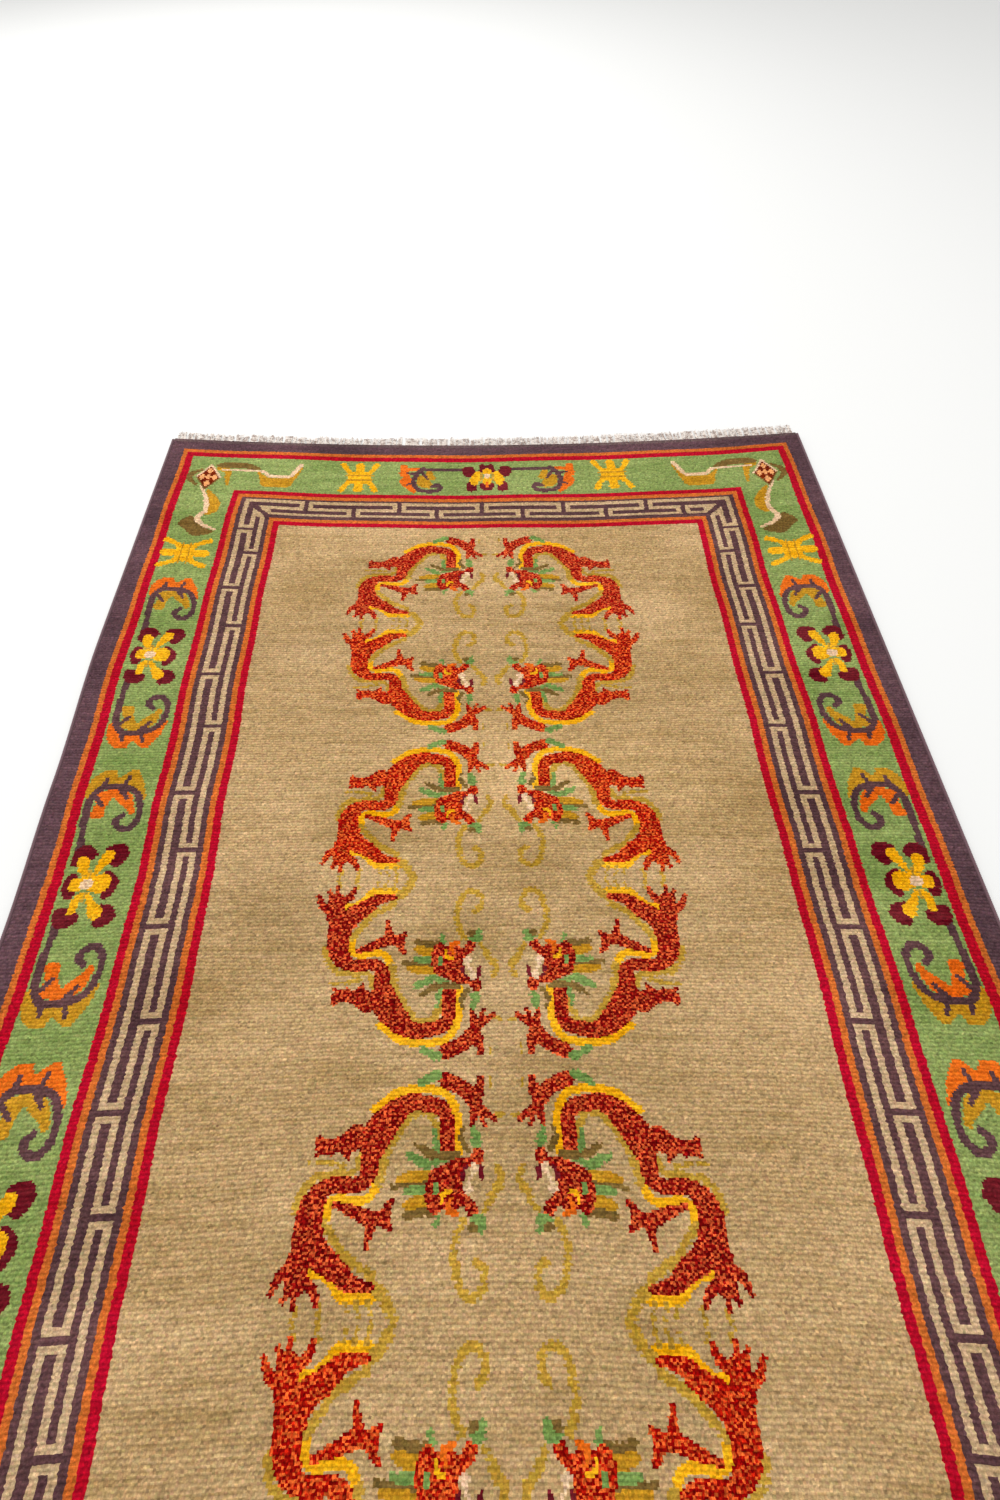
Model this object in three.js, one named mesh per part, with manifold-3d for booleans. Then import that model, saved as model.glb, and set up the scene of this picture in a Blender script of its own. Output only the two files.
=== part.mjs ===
// A hand-knotted rug of wool and silk, lying flat: the pile on its woven ground, an overcast
// cord along each long side, and a cut warp fringe with its narrow woven heading at each end.
// Millimetres, +Z up, +X across the rug and +Y along it, towards the far end. The origin is on
// the floor, under the middle of the rug.
import * as THREE from 'three';
import { mergeVertices } from 'three/addons/utils/BufferGeometryUtils.js';
import Module from 'manifold-3d';

const wasm = await Module();
wasm.setup();

// The drawn size, before the rug's own unevenness
const RUG_WIDTH = 1220; // over both side bindings
const RUG_LENGTH = 1864; // the pile, without the fringes
const RUG_THICKNESS = 11; // ground and pile together
const PILE_SHOULDER = 3; // how far the clipped pile rounds off at its edge
const SEAM = 0.3; // clearance between neighbouring pieces

const BINDING_WIDTH = 6;
const BINDING_HEIGHT = 8;

const HEADING_WIDTH = 5;
const HEADING_HEIGHT = 3;
const STRAND_COUNT = 150; // locks of warp ends at each end of the rug
const STRAND_WIDTH = 6;
const STRAND_HEIGHT = 2.2;
const STRAND_TIP = 0.7; // width and height at the cut end, as a share of those at the root
const STRAND_SWAY = 0.6; // how far a lock bends to either side
const STRAND_ROOT = 2; // length that lies inside the heading
const FRINGE_LENGTH_LEFT = 24; // free length of the locks at the rug's left corner
const FRINGE_LENGTH_RIGHT = 31;
const FRINGE_LENGTH_SPREAD = 3; // uneven cutting, either way

const SIDE_STEPS = 20;
const END_STEPS = 20;

const HALF_WIDTH = RUG_WIDTH / 2;
const HALF_LENGTH = RUG_LENGTH / 2;

// How a hand loom leaves the rug uneven, at stations along its length. drawnIn moves the left
// side towards the right one, bow pulls the middle of a weft row towards the rug's middle, and
// lean lifts its right end and drops its left one.
const STATIONS = [
  { y: -925, drawnIn: 2, bow: -32, lean: -7 },
  { y: -400, drawnIn: 9, bow: -26, lean: 0 },
  { y: -50, drawnIn: 13, bow: -14, lean: 0 },
  { y: 150, drawnIn: 8, bow: -4, lean: 0 },
  { y: 400, drawnIn: 0, bow: 12, lean: 0 },
  { y: 660, drawnIn: 1, bow: 32, lean: 2 },
  { y: 925, drawnIn: 2, bow: 32, lean: 7 },
];

const pileWool = new THREE.MeshStandardMaterial({ color: '#a89068', roughness: 0.9, metalness: 0 });
const bindingWool = new THREE.MeshStandardMaterial({ color: '#6b4a56', roughness: 0.9, metalness: 0 });
const warpCotton = new THREE.MeshStandardMaterial({ color: '#e6ddcf', roughness: 0.95, metalness: 0 });

// One column of STATIONS at a place along the rug, blended smoothly from station to station.
function unevenness(column, y) {
  const last = STATIONS.length - 1;
  const next = Math.max(1, STATIONS.findIndex((station, i) => i === last || station.y >= y));
  const before = STATIONS[next - 1];
  const after = STATIONS[next];
  const part = THREE.MathUtils.smoothstep(y, before.y, after.y);
  return THREE.MathUtils.lerp(before[column], after[column], part);
}

// Where a point of the rug as drawn comes to lie on the rug as woven.
function lie(x, y) {
  const across = x / HALF_WIDTH;
  return new THREE.Vector2(
    x + unevenness('drawnIn', y) * (1 - across) / 2,
    y - unevenness('bow', y) * (1 - across * across) + unevenness('lean', y) * across,
  );
}

// A closed solid through rings of equal length. Both ends are capped, and plane gives the two
// coordinates in which a cap is seen flat.
function loft(rings, plane) {
  const size = rings[0].length;
  const points = rings.flat();
  const faces = [];
  for (let r = 0; r + 1 < rings.length; r++) {
    for (let i = 0; i < size; i++) {
      const j = (i + 1) % size;
      const [a, b, c, d] = [r * size + i, r * size + j, (r + 1) * size + j, (r + 1) * size + i];
      faces.push(a, b, c, a, c, d);
    }
  }
  // In rising order, the corners of a cap's triangle go round the same way as their ring.
  const cap = ring => THREE.ShapeUtils.triangulateShape(ring.map(plane), [])
    .map(triangle => triangle.toSorted((a, b) => a - b));
  for (const [a, b, c] of cap(rings[0])) {
    faces.push(c, b, a);
  }
  const top = (rings.length - 1) * size;
  for (const [a, b, c] of cap(rings.at(-1))) {
    faces.push(top + a, top + b, top + c);
  }
  const geometry = new THREE.BufferGeometry();
  const numbers = points.flatMap(point => point.toArray());
  geometry.setAttribute('position', new THREE.Float32BufferAttribute(numbers, 3));
  geometry.setIndex(faces);
  return geometry;
}

// Evenly spaced values from one number to another, both of them included.
function spaced(from, to, steps) {
  return Array.from({ length: steps + 1 }, (_, i) => THREE.MathUtils.lerp(from, to, i / steps));
}

// The rug body's outline, anticlockwise from its near left corner, drawn in by inset all round.
function outline(inset) {
  const right = HALF_WIDTH - BINDING_WIDTH - SEAM - inset;
  const far = HALF_LENGTH - inset;
  const near = spaced(-right, right, END_STEPS).map(x => lie(x, -far));
  const rightSide = spaced(-far, far, SIDE_STEPS).map(y => lie(right, y));
  const farEnd = spaced(right, -right, END_STEPS).map(x => lie(x, far));
  const leftSide = spaced(far, -far, SIDE_STEPS).map(y => lie(-right, y));
  // Each run leaves out its last point, which the next run starts with.
  return [near, rightSide, farEnd, leftSide].flatMap(run => run.slice(0, -1));
}

function rugBody() {
  const profile = [
    { inset: 0, z: 0 },
    { inset: 0, z: RUG_THICKNESS - PILE_SHOULDER },
    { inset: PILE_SHOULDER * 0.3, z: RUG_THICKNESS - PILE_SHOULDER * 0.3 },
    { inset: PILE_SHOULDER, z: RUG_THICKNESS },
  ];
  const rings = profile.map(({ inset, z }) => outline(inset).map(p => new THREE.Vector3(p.x, p.y, z)));
  return loft(rings, p => new THREE.Vector2(p.x, p.y));
}

// The overcast cord: a flat underside and a rounded back. side is -1 for left, 1 for right.
function sideBinding(side) {
  const section = [
    { across: 0, z: 0 },
    { across: 1, z: 0 },
    { across: 1, z: 0.6 },
    { across: 0.75, z: 0.93 },
    { across: 0.4, z: 1 },
    { across: 0, z: 0.72 },
  ];
  const outer = side * HALF_WIDTH;
  const rings = spaced(HALF_LENGTH, -HALF_LENGTH, SIDE_STEPS).map(y => {
    const ring = section.map(({ across, z }) => {
      const p = lie(outer - side * BINDING_WIDTH * across, y);
      return new THREE.Vector3(p.x, p.y, z * BINDING_HEIGHT);
    });
    return side < 0 ? ring : ring.reverse();
  });
  return loft(rings, p => new THREE.Vector2(p.x, p.z));
}

// A repeatable scatter between -1 and 1 for the number n.
function scatter(n) {
  const wave = Math.sin(n * 12.9898 + 4.137) * 43758.5453;
  return 2 * (wave - Math.floor(wave)) - 1;
}

// The narrow strip of plain weave that holds the warp ends. end is 1 for far, -1 for near.
function heading(end) {
  const corners = [
    { out: SEAM, z: 0 },
    { out: SEAM + HEADING_WIDTH, z: 0 },
    { out: SEAM + HEADING_WIDTH, z: HEADING_HEIGHT },
    { out: SEAM, z: HEADING_HEIGHT },
  ];
  const reach = HALF_WIDTH - BINDING_WIDTH;
  const rings = spaced(-reach, reach, END_STEPS).map(x => {
    const p = lie(x, end * HALF_LENGTH);
    const ring = corners.map(({ out, z }) => new THREE.Vector3(p.x, p.y + end * out, z));
    return end > 0 ? ring : ring.reverse();
  });
  return loft(rings, p => new THREE.Vector2(p.y, p.z));
}

// One lock of warp ends: a low ridge of three sides, flat on the floor, narrowing to its cut.
function strand(end, index) {
  const share = (index + 0.5) / STRAND_COUNT;
  const reach = HALF_WIDTH - BINDING_WIDTH - STRAND_WIDTH / 2;
  const root = lie(THREE.MathUtils.lerp(-reach, reach, share), end * HALF_LENGTH);
  const seed = index + (end > 0 ? 0 : STRAND_COUNT);
  const free = THREE.MathUtils.lerp(FRINGE_LENGTH_LEFT, FRINGE_LENGTH_RIGHT, share)
    + FRINGE_LENGTH_SPREAD * scatter(seed);
  const sway = STRAND_SWAY * scatter(seed + 0.37);
  const start = SEAM + HEADING_WIDTH - STRAND_ROOT;
  const sections = [
    { out: start, side: 0, size: 1 },
    { out: start + STRAND_ROOT + free * 0.45, side: sway, size: 0.9 },
    { out: start + STRAND_ROOT + free, side: -sway * 0.5, size: STRAND_TIP },
  ];
  const rings = sections.map(({ out, side, size }) => {
    const x = root.x + side;
    const y = root.y + end * out;
    const half = STRAND_WIDTH * size / 2;
    const ring = [
      new THREE.Vector3(x - half, y, 0),
      new THREE.Vector3(x, y, STRAND_HEIGHT * size),
      new THREE.Vector3(x + half, y, 0),
    ];
    return end > 0 ? ring : ring.reverse();
  });
  return loft(rings, p => new THREE.Vector2(p.x, p.z));
}

// A closed geometry as a solid that can be joined to others.
function solid(geometry) {
  const merged = mergeVertices(geometry);
  return new wasm.Manifold(new wasm.Mesh({
    numProp: 3,
    vertProperties: merged.attributes.position.array,
    triVerts: Uint32Array.from(merged.index.array),
  }));
}

// A solid as a geometry again.
function geometryOf(manifold) {
  const mesh = manifold.getMesh();
  const geometry = new THREE.BufferGeometry();
  geometry.setAttribute('position', new THREE.Float32BufferAttribute(mesh.vertProperties, 3));
  geometry.setIndex(Array.from(mesh.triVerts));
  return geometry;
}

// The heading with all its locks of warp ends joined to it.
function fringe(end) {
  let joined = solid(heading(end));
  for (let index = 0; index < STRAND_COUNT; index++) {
    joined = joined.add(solid(strand(end, index)));
  }
  return geometryOf(joined);
}

function piece(name, geometry, material) {
  geometry.computeVertexNormals();
  const mesh = new THREE.Mesh(geometry, material);
  mesh.name = name;
  return mesh;
}

const rug = new THREE.Group();
rug.add(piece('rug_body', rugBody(), pileWool));

const bindings = new THREE.Group();
bindings.add(piece('side_binding_left', sideBinding(-1), bindingWool));
bindings.add(piece('side_binding_right', sideBinding(1), bindingWool));
rug.add(bindings);

const fringes = new THREE.Group();
fringes.add(piece('fringe_far', fringe(1), warpCotton));
fringes.add(piece('fringe_near', fringe(-1), warpCotton));
rug.add(fringes);

export default rug;
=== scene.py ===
# %% [markdown]
# # A hand-knotted rug of wool and silk
# The object is a long rug, 1.22 m wide, that lies flat. On a loom, a knotter ties short lengths of
# wool round cotton warps, row by row, from a chart that says which colour goes into which knot. The
# pile is then clipped level. Two overcast cords hold its long sides, and the cut warp ends make a
# short fringe at each end.
#
# So this lesson works as the knotter does. It draws the charts first, knots them into one large
# grid, and only then makes the pile, one small tuft of it for each cell of the grid.

import bpy
import numpy as np
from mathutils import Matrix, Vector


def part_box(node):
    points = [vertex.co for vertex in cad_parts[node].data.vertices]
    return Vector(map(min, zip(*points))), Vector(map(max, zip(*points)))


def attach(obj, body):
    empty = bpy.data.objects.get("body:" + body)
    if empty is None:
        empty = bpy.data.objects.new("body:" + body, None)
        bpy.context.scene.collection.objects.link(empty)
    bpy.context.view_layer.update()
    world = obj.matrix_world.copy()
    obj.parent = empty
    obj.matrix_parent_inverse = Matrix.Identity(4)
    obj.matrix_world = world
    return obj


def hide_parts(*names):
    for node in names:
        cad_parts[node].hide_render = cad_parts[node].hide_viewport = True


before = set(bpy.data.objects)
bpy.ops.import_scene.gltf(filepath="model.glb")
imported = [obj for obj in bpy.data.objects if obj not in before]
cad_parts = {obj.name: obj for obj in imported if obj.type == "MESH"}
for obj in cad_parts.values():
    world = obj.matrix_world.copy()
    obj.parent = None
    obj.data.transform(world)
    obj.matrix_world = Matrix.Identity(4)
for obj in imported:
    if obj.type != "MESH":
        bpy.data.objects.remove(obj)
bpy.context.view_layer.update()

print("solids in the frame:", ", ".join(sorted(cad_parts)))

# %% [markdown]
# ## Measures
# The charts are drawn in millimetres, because a knotter thinks in them, and the meshes are made in
# metres. A good rug of this kind has about 100 knots to the square inch: a knot is 2.7 mm wide and
# 2.2 mm high. The rows are beaten down in pairs, which leaves a groove after every second row.

# %% Driving dimensions
MM = 0.001
HALF_WIDTH = 610.0
HALF_LENGTH = 932.0
BINDING_WIDTH = 6.0
SEAM = 0.3
PILE_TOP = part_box("rug_body")[1].z / MM
GROUND_TOP = 3.0

COLUMNS = 450
ROWS = 850
HALF_PILE = HALF_WIDTH - BINDING_WIDTH - SEAM
KNOT_WIDTH = 2 * HALF_PILE / COLUMNS
KNOT_HEIGHT = 2 * HALF_LENGTH / ROWS
print(f"a knot is {KNOT_WIDTH:.2f} mm wide and {KNOT_HEIGHT:.2f} mm high, the pile {PILE_TOP:.0f} mm")

# %% [markdown]
# ## How the loom left it uneven
# A hand-made rug is never quite straight. Its left side draws in a little at the middle, and the
# rows bow, because the warps are tighter in the middle than at the sides. The frame's solids follow
# the same table, so every piece here is laid by the same function and fits them.

# %% From the chart to the floor
STATIONS = [
    {"y": -925, "drawn_in": 2, "bow": -32, "lean": -7},
    {"y": -400, "drawn_in": 9, "bow": -26, "lean": 0},
    {"y": -50, "drawn_in": 13, "bow": -14, "lean": 0},
    {"y": 150, "drawn_in": 8, "bow": -4, "lean": 0},
    {"y": 400, "drawn_in": 0, "bow": 12, "lean": 0},
    {"y": 660, "drawn_in": 1, "bow": 32, "lean": 2},
    {"y": 925, "drawn_in": 2, "bow": 32, "lean": 7},
]


def unevenness(column, y):
    """One column of STATIONS at places along the rug, blended smoothly between stations."""
    places = np.array([station["y"] for station in STATIONS], float)
    values = np.array([station[column] for station in STATIONS], float)
    after = np.clip(np.searchsorted(places, y), 1, len(places) - 1)
    part = np.clip((y - places[after - 1]) / (places[after] - places[after - 1]), 0, 1)
    part = part * part * (3 - 2 * part)
    return values[after - 1] + (values[after] - values[after - 1]) * part


def lie(x, y):
    """Where points of the rug as drawn come to lie, in millimetres."""
    across = x / HALF_WIDTH
    lying_x = x + unevenness("drawn_in", y) * (1 - across) / 2
    lying_y = y - unevenness("bow", y) * (1 - across * across) + unevenness("lean", y) * across
    return lying_x, lying_y


print("the far left corner lies at", [round(float(value), 1) for value in lie(-HALF_WIDTH, HALF_LENGTH)])

# %% [markdown]
# ## The wools
# Each wool is dyed in small lots and spun by hand, so no colour is even. A wool is therefore a run of
# shades, and the way in which they mix: `streaked` wool changes slowly along its rows, as one dye
# lot follows another, and `flecked` wool is two colours held together, so that each knot shows more
# of the one or of the other.

# %% Dye lots
WOOLS = {
    "beige": {"shades": ("#a78757", "#cba879"), "mix": "streaked"},
    "green": {"shades": ("#768a47", "#98a561"), "mix": "streaked"},
    "red": {"shades": ("#a9081c", "#bd0d2c"), "mix": "streaked"},
    "orange": {"shades": ("#bb6025", "#d97130"), "mix": "streaked"},
    "border plum": {"shades": ("#50393e", "#6b4c52"), "mix": "streaked"},
    "plum": {"shades": ("#4c3234", "#6a4848"), "mix": "streaked"},
    "plum edge": {"shades": ("#574444", "#715a59"), "mix": "streaked"},
    "key beige": {"shades": ("#b4956e", "#d0af88"), "mix": "streaked"},
    "maroon": {"shades": ("#5a0212", "#79262c"), "mix": "streaked"},
    "yellow": {"shades": ("#e39c03", "#f9b821"), "mix": "streaked"},
    "gold": {"shades": ("#b17d15", "#c99328"), "mix": "streaked"},
    "old gold": {"shades": ("#a47e25", "#c89d3e"), "mix": "streaked"},
    "olive": {"shades": ("#694f22", "#866a38"), "mix": "streaked"},
    "cream": {"shades": ("#d4ae85", "#f1cca6"), "mix": "streaked"},
    "peach": {"shades": ("#df9254", "#f8b073"), "mix": "streaked"},
    "russet": {"shades": ("#570202", "#802902"), "mix": "streaked"},
    "leaf orange": {"shades": ("#d45b0b", "#ee7421"), "mix": "streaked"},
    "leaf green": {"shades": ("#607f3c", "#86a056"), "mix": "streaked"},
    "crimson": {"shades": ("#860303", "#ac160e", "#da5e30"), "mix": "flecked"},
    "flame": {"shades": ("#8a0303", "#b91e09", "#e66228"), "mix": "flecked"},
    "ember": {"shades": ("#6c0304", "#98110d", "#d85c2e"), "mix": "flecked"},
}
WOOL_NUMBER = {name: number for number, name in enumerate(WOOLS)}
BARE = -1


def linear(colour):
    """An sRGB hex colour as linear red, green and blue."""
    srgb = np.array([int(colour[i : i + 2], 16) / 255 for i in (1, 3, 5)])
    return np.where(srgb <= 0.04045, srgb / 12.92, ((srgb + 0.055) / 1.055) ** 2.4)


print(len(WOOLS), "wools")

# %% [markdown]
# ## A chart
# A chart is a small grid of knots round the middle of one motif. A motif is drawn on it with three
# strokes: a `line` of changing thickness, a `patch` inside a smooth outline, and an oval `spot`. A
# knot takes the colour if its middle lies inside the stroke. The same chart is knotted in several
# places, turned over from side to side or end to end, as on the loom.

# %% Smooth curves through a few points
STEPS_BETWEEN = 8


def smooth(values, closed=False):
    """A smooth run through rows of numbers, with a few steps between each two of them."""
    values = np.array(values, float)
    if closed:
        values = np.vstack([values[-1:], values, values[:2]])
    else:
        values = np.vstack([2 * values[:1] - values[1:2], values, 2 * values[-1:] - values[-2:-1]])
    t = (np.arange(STEPS_BETWEEN) / STEPS_BETWEEN)[:, None]
    run = []
    for a, b, c, d in zip(values, values[1:], values[2:], values[3:]):
        slope = t * (c - a) / 2
        curve = t**2 * (a - 2.5 * b + 2 * c - d / 2)
        turn = t**3 * (b - c + (d - a) / 3) * 1.5
        run.append(b + slope + curve + turn)
    if not closed:
        run.append(values[-2:-1])
    return np.vstack(run)


# %% The chart and its three strokes
class Chart:
    """Knots round a motif's middle. A turned chart has the motif's x along the rug."""

    def __init__(self, left, right, low, high, turned=False):
        self.columns = np.arange(round(left / KNOT_WIDTH), round(right / KNOT_WIDTH))
        self.rows = np.arange(round(low / KNOT_HEIGHT), round(high / KNOT_HEIGHT))
        across = (self.columns + 0.5) * KNOT_WIDTH
        along = (self.rows + 0.5) * KNOT_HEIGHT
        self.x, self.y = np.meshgrid(across, along)
        if turned:
            self.x, self.y = self.y, self.x
        self.wool = np.full(self.x.shape, BARE)

    def line(self, wool, points, widths):
        """A smooth line. widths is one number, or one for each point."""
        widths = np.broadcast_to(widths, len(points))
        run = smooth(np.column_stack([points, widths]))
        for (ax, ay, wide), (bx, by, next_wide) in zip(run, run[1:]):
            dx, dy = bx - ax, by - ay
            along = ((self.x - ax) * dx + (self.y - ay) * dy) / max(dx * dx + dy * dy, 1e-9)
            along = np.clip(along, 0, 1)
            away = np.hypot(self.x - ax - along * dx, self.y - ay - along * dy)
            self.wool[away < (wide + (next_wide - wide) * along) / 2] = WOOL_NUMBER[wool]

    def lines(self, strokes):
        """Several lines, each one a wool, points and widths, and each over those before it."""
        for wool, points, widths in strokes:
            self.line(wool, points, widths)

    def patch(self, wool, points):
        """The inside of a smooth closed outline."""
        run = smooth(points, closed=True)
        inside = np.zeros(self.x.shape, bool)
        for (ax, ay), (bx, by) in zip(run, np.roll(run, -1, axis=0)):
            spans = (ay > self.y) != (by > self.y)
            crossing = ax + (self.y - ay) * (bx - ax) / (by - ay if by != ay else 1)
            inside ^= spans & (self.x < crossing)
        self.wool[inside] = WOOL_NUMBER[wool]

    def spot(self, wool, x, y, width, height):
        """An oval."""
        inside = np.hypot((self.x - x) / width, (self.y - y) / height) < 0.5
        self.wool[inside] = WOOL_NUMBER[wool]


# %% [markdown]
# ## The borders
# The rug itself is the largest chart. Its borders are nested frames of plain colour, counted in
# knots from the outside: their widths in rows differ a little from their widths in columns, because
# a knot is wider than it is high.

# %% Nested frames of colour
SIDE_BANDS = [
    ("border plum", 10), ("orange", 3), ("red", 5), ("green", 35), ("red", 4), ("orange", 3),
    ("plum", 22), ("orange", 3), ("red", 4),
]
END_BANDS = [
    ("border plum", 15), ("orange", 4), ("red", 5), ("green", 44), ("red", 5), ("orange", 4),
    ("plum", 24), ("orange", 3), ("red", 5),
]
KEY_BAND = 6  # the plum frame that holds the key pattern
EDGE_ROWS = 5  # the last rows, in a browner plum

rug = np.full((ROWS, COLUMNS), WOOL_NUMBER["beige"])
in_columns = 0
in_rows = 0
for number, ((wool, columns), (_, rows)) in enumerate(zip(SIDE_BANDS, END_BANDS)):
    if number == KEY_BAND:
        key_column, key_row = in_columns, in_rows
    rug[in_rows : ROWS - in_rows, in_columns : COLUMNS - in_columns] = WOOL_NUMBER[wool]
    in_columns += columns
    in_rows += rows
rug[in_rows : ROWS - in_rows, in_columns : COLUMNS - in_columns] = WOOL_NUMBER["beige"]
rug[:EDGE_ROWS] = WOOL_NUMBER["plum edge"]
rug[-EDGE_ROWS:] = WOOL_NUMBER["plum edge"]
print(f"the field is {COLUMNS - 2 * in_columns} by {ROWS - 2 * in_rows} knots")

# %% [markdown]
# ## The key pattern
# The third frame is a key pattern, one beige line that winds through three lanes. It is simplest to
# knot the three lanes whole, and then to cut them: at each gap, a plum bar parts two lanes, and a
# beige bar on each side of it joins their ends. The gaps of the outer and the inner pair of lanes
# take turns. At a corner, the outer lane runs round, and the other two end along the diagonal.

# %% Lanes, gaps and corners
LINE = 3  # knots across the beige line and its bars
SIDE_LANES = (3, 10, 16)  # columns from the frame's outer edge to each lane
END_LANES = (2, 10, 17)  # rows from there to each lane
SIDE_GAPS = {  # millimetres from the rug's middle, towards the far end
    "outer": (678, 532, 345, 132, -58, -264, -452, -612),
    "inner": (619, 445, 244, 44, -169, -358, -534),
}
END_GAPS = {  # millimetres to the right of the rug's middle
    "outer": (-322, -157, -10, 136, 283),
    "inner": (-238, -89, 64, 210, 348),
}


def knot_lanes(band, lanes, gaps, knot):
    """The three lanes in one straight stretch of the key frame: band is (along, across) knots."""
    for lane in lanes:
        band[:, lane : lane + LINE] = WOOL_NUMBER["key beige"]
    middle = band.shape[0] / 2
    for pair, places in gaps.items():
        first, last = (lanes[0], lanes[1]) if pair == "outer" else (lanes[1], lanes[2])
        for place in places:
            start = round(middle + place / knot - LINE / 2)
            band[start - LINE : start + 2 * LINE, first : last + LINE] = WOOL_NUMBER["key beige"]
            band[start : start + LINE, first : last + LINE] = WOOL_NUMBER["plum"]


BEIGE_DIAGONAL = {"from": 0.6, "half_width": 0.5}  # as shares of the way to the innermost lane
PLUM_DIAGONAL = {"from": 0.42, "half_width": 0.17}


def diagonal(depth_x, depth_y):
    """The wools of one corner of the key frame, where both depths are knots from its outer edge."""
    x = depth_x / SIDE_LANES[2]
    y = depth_y / END_LANES[2]
    deep = np.minimum(x, y)
    lean = np.abs(x - y)
    corner = np.full(lean.shape, BARE)
    in_lanes = np.minimum(depth_x, depth_y) < SIDE_LANES[2] + LINE
    beige = in_lanes & (deep > BEIGE_DIAGONAL["from"]) & (lean < BEIGE_DIAGONAL["half_width"])
    corner[beige] = WOOL_NUMBER["key beige"]
    corner[(deep > PLUM_DIAGONAL["from"]) & (lean < PLUM_DIAGONAL["half_width"])] = WOOL_NUMBER["plum"]
    return corner


key_columns = SIDE_BANDS[KEY_BAND][1]
key_rows = END_BANDS[KEY_BAND][1]
depth_x, depth_y = np.meshgrid(np.arange(key_columns), np.arange(key_rows))
corner = diagonal(depth_x, depth_y)
for view in (rug, rug[:, ::-1]):
    knot_lanes(view[key_row : ROWS - key_row, key_column : key_column + key_columns],
               SIDE_LANES, SIDE_GAPS, KNOT_HEIGHT)
for view in (rug, rug[::-1]):
    knot_lanes(view[key_row : key_row + key_rows, key_column : COLUMNS - key_column].T,
               END_LANES, END_GAPS, KNOT_WIDTH)
for view in (rug, rug[::-1], rug[:, ::-1], rug[::-1, ::-1]):
    block = view[key_row : key_row + key_rows, key_column : key_column + key_columns]
    block[:] = WOOL_NUMBER["plum"]
    for side_lane, end_lane in zip(SIDE_LANES, END_LANES):
        block[end_lane:, side_lane : side_lane + LINE] = WOOL_NUMBER["key beige"]
        block[end_lane : end_lane + LINE, side_lane:] = WOOL_NUMBER["key beige"]
    block[corner != BARE] = corner[corner != BARE]
print("the key pattern has", sum(len(places) for places in SIDE_GAPS.values()), "gaps on a side")

# %% [markdown]
# ## Knotting a motif
# One function puts a chart into the rug at a place given in millimetres from the middle. `mirror_x`
# and `mirror_y` turn the chart over. `swap` knots it with other wools, since the weaver used the
# same vine with its orange and gold leaves changed about.


# %% From a motif's chart into the rug
def knot_in(chart, x, y, mirror_x=False, mirror_y=False, swap=()):
    """Puts a chart's knots into the rug, with the motif's middle at x, y."""
    columns = -1 - chart.columns if mirror_x else chart.columns
    rows = -1 - chart.rows if mirror_y else chart.rows
    wool = chart.wool.copy()
    for old, new in dict(swap).items():
        wool[chart.wool == WOOL_NUMBER[old]] = WOOL_NUMBER[new]
    row, column = np.nonzero(wool != BARE)
    at_row = rows[row] + ROWS // 2 + round(y / KNOT_HEIGHT)
    at_column = columns[column] + COLUMNS // 2 + round(x / KNOT_WIDTH)
    rug[at_row, at_column] = wool[row, column]


# %% [markdown]
# ## The dragons
# Three medallions stand in a row on the field. Each has four dragons, a traditional figure of such
# rugs, so one chart with a quarter of the medallion is enough. A body that bends and tapers is a
# line of changing thickness. The bright yellow and old gold lines beside it are drawn first, then
# the legs and the body over them, and the head and its mane last.

# %% A quarter of the medallion, with its middle at 0, 0
dragon = Chart(0, 240, 0, 224)

CURLS = [
    ("old gold", [(46, 78), (53, 64), (54, 46), (48, 25), (37, 17), (27, 24), (25, 38), (33, 44)], 8.5),
    ("old gold", [(26, 86), (17, 102), (9, 112), (13, 125)], [7, 9, 10, 6]),
    ("old gold", [(18, 204), (17, 214)], 4),
    ("old gold", [(6, 175), (11, 174)], 6),
]
OUTLINES = [
    ("yellow", [(53, 138), (53, 172), (60, 190), (73, 200), (112, 200), (127, 191), (142, 181)], 9),
    ("yellow", [(134, 112), (141, 99), (155, 97), (172, 98), (181, 91), (182, 78)], 8.5),
    ("yellow", [(191, 38), (179, 37), (168, 28), (158, 18), (131, 18)], 8.5),
    ("old gold", [(77, 148), (78, 168), (86, 178), (103, 174), (117, 156), (127, 138), (132, 112)], 9),
    ("old gold", [(154, 136), (159, 123), (178, 120), (196, 118), (208, 106), (214, 90)], 8),
    ("old gold", [(170, 128), (186, 131), (204, 131)], 5),
    ("old gold", [(182, 77), (168, 60), (152, 46), (133, 35)], 9),
    ("old gold", [(131, 27), (122, 21), (115, 10), (109, 0)], [9, 12, 12, 10]),
    ("old gold", [(134, 15), (131, 3)], 5),
    ("old gold", [(145, 15), (143, 4)], 5),
    ("old gold", [(155, 14), (153, 6)], 4),
    ("old gold", [(178, 12), (180, 2)], 5),
    ("old gold", [(201, 10), (204, 1)], 5),
]
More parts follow.
